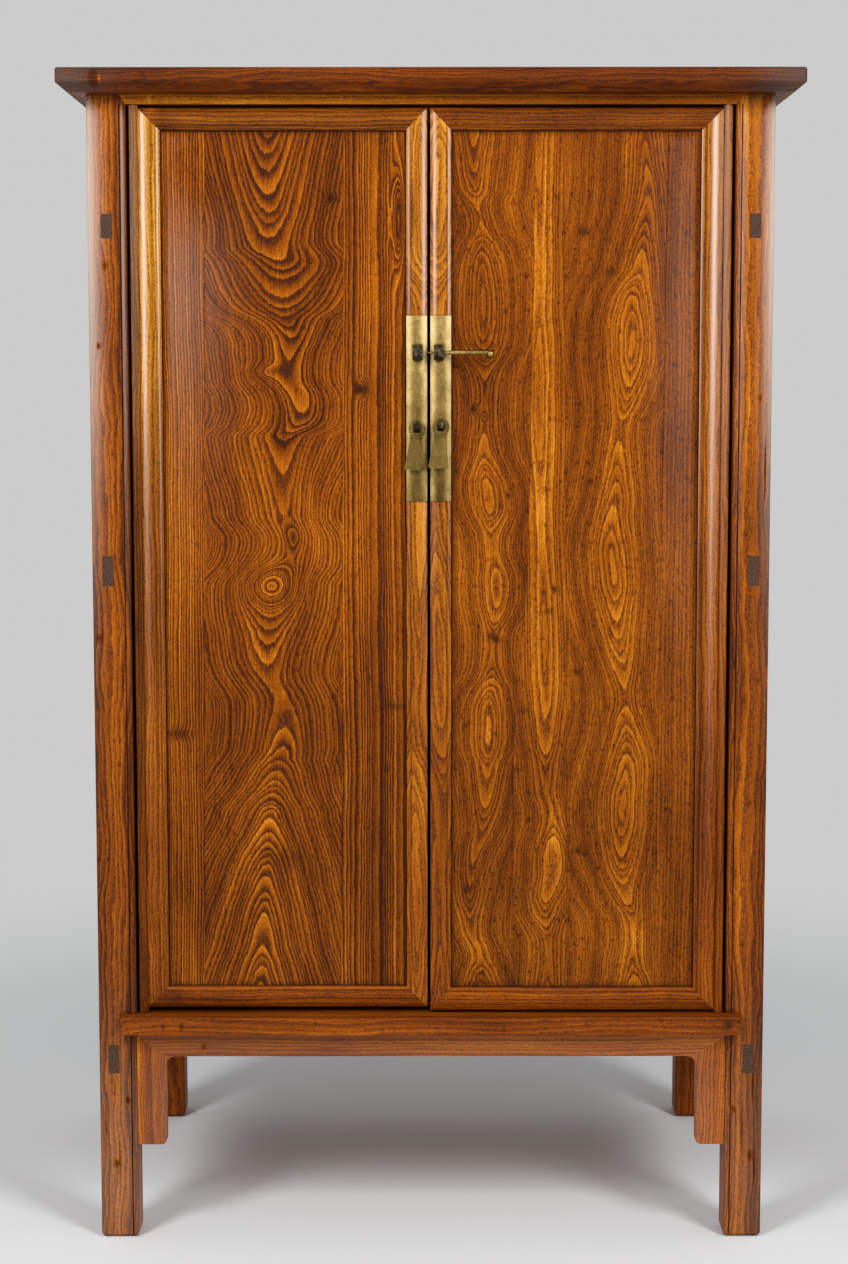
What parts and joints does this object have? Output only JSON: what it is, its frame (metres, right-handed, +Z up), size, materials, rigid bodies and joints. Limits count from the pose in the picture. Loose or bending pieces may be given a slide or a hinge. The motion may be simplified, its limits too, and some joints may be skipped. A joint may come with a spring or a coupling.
{
  "type": "kang cabinet",
  "caption": "Wooden cabinet on square post legs with pivot-hinged panelled doors, an inner shelf, brass face plates, fishtail pulls and a sliding locking pin.",
  "frame": {"origin": "on the floor, at the middle of the bounding box, under the middle of the top", "axes": "+Z up; the doors face -Y; +X to the right of someone facing the doors"},
  "size_m": [0.594, 0.414, 0.96],
  "materials": {
    "frame_wood": "clear satin lacquer over stained elm",
    "panel_wood": "clear satin lacquer over stained, strongly figured elm",
    "inner_wood": "planed and oiled",
    "brass": "aged, softly polished",
    "iron": "forged and blackened, worn bright at the edges"
  },
  "bodies": {
    "cabinet": {"back_bottom_rail": "frame_wood", "back_head_rail": "frame_wood", "back_muntin": "inner_wood", "back_panels": "inner_wood", "bottom_batten": "inner_wood", "bottom_bearers": "inner_wood", "bottom_boards": "inner_wood", "front_apron": "frame_wood", "front_head_rail": "frame_wood", "front_spandrels": "frame_wood", "left_back_post": "frame_wood", "left_front_post": "frame_wood", "left_head_rail": "frame_wood", "left_lower_rail": "frame_wood", "left_middle_rail": "frame_wood", "left_side_apron": "frame_wood", "left_side_panels": "frame_wood", "left_side_spandrels": "frame_wood", "left_upper_rail": "frame_wood", "right_back_post": "frame_wood", "right_front_post": "frame_wood", "right_head_rail": "frame_wood", "right_lower_rail": "frame_wood", "right_middle_rail": "frame_wood", "right_side_apron": "frame_wood", "right_side_panels": "frame_wood", "right_side_spandrels": "frame_wood", "right_upper_rail": "frame_wood", "shelf_bearers": "inner_wood", "shelf_boards": "inner_wood", "sill": "frame_wood", "top_back_member": "frame_wood", "top_battens": "inner_wood", "top_front_member": "frame_wood", "top_left_member": "frame_wood", "top_panel": "frame_wood", "top_right_member": "frame_wood"},
    "left_door": {"left_door_battens": "inner_wood", "left_door_boss": "brass", "left_door_bottom_rail": "frame_wood", "left_door_face_plate": "brass", "left_door_meeting_stile": "frame_wood", "left_door_panel": "panel_wood", "left_door_pivot_stile": "frame_wood", "left_door_pull_staple": "iron", "left_door_staple": "iron", "left_door_top_rail": "frame_wood"},
    "right_door": {"right_door_battens": "inner_wood", "right_door_boss": "brass", "right_door_bottom_rail": "frame_wood", "right_door_face_plate": "brass", "right_door_meeting_stile": "frame_wood", "right_door_panel": "panel_wood", "right_door_pivot_stile": "frame_wood", "right_door_pull_staple": "iron", "right_door_staple": "iron", "right_door_top_rail": "frame_wood"},
    "left_pull": {"left_door_pull": "brass"},
    "right_pull": {"right_door_pull": "brass"},
    "locking_pin": {"locking_pin": "brass"}
  },
  "joints": [
    {"name": "left_door_hinge", "type": "hinge", "parent": "cabinet", "child": "left_door", "pos_m": [-0.2385, -0.1775, 0.56], "axis": [0, 0, -1], "range_deg": [0, 100]},
    {"name": "right_door_hinge", "type": "hinge", "parent": "cabinet", "child": "right_door", "pos_m": [0.2385, -0.1775, 0.56], "axis": [0, 0, 1], "range_deg": [0, 100]},
    {"name": "left_pull_swing", "type": "hinge", "parent": "left_door", "child": "left_pull", "pos_m": [-0.0112, -0.18675, 0.6769], "axis": [-1, 0, 0], "range_deg": [0, 80]},
    {"name": "right_pull_swing", "type": "hinge", "parent": "right_door", "child": "right_pull", "pos_m": [0.0081, -0.18675, 0.6783], "axis": [-1, 0, 0], "range_deg": [0, 80]},
    {"name": "locking_pin_slide", "type": "slide", "parent": "right_door", "child": "locking_pin", "axis": [1, 0, 0], "range_m": [-0.0315, 0.005]}
  ]
}
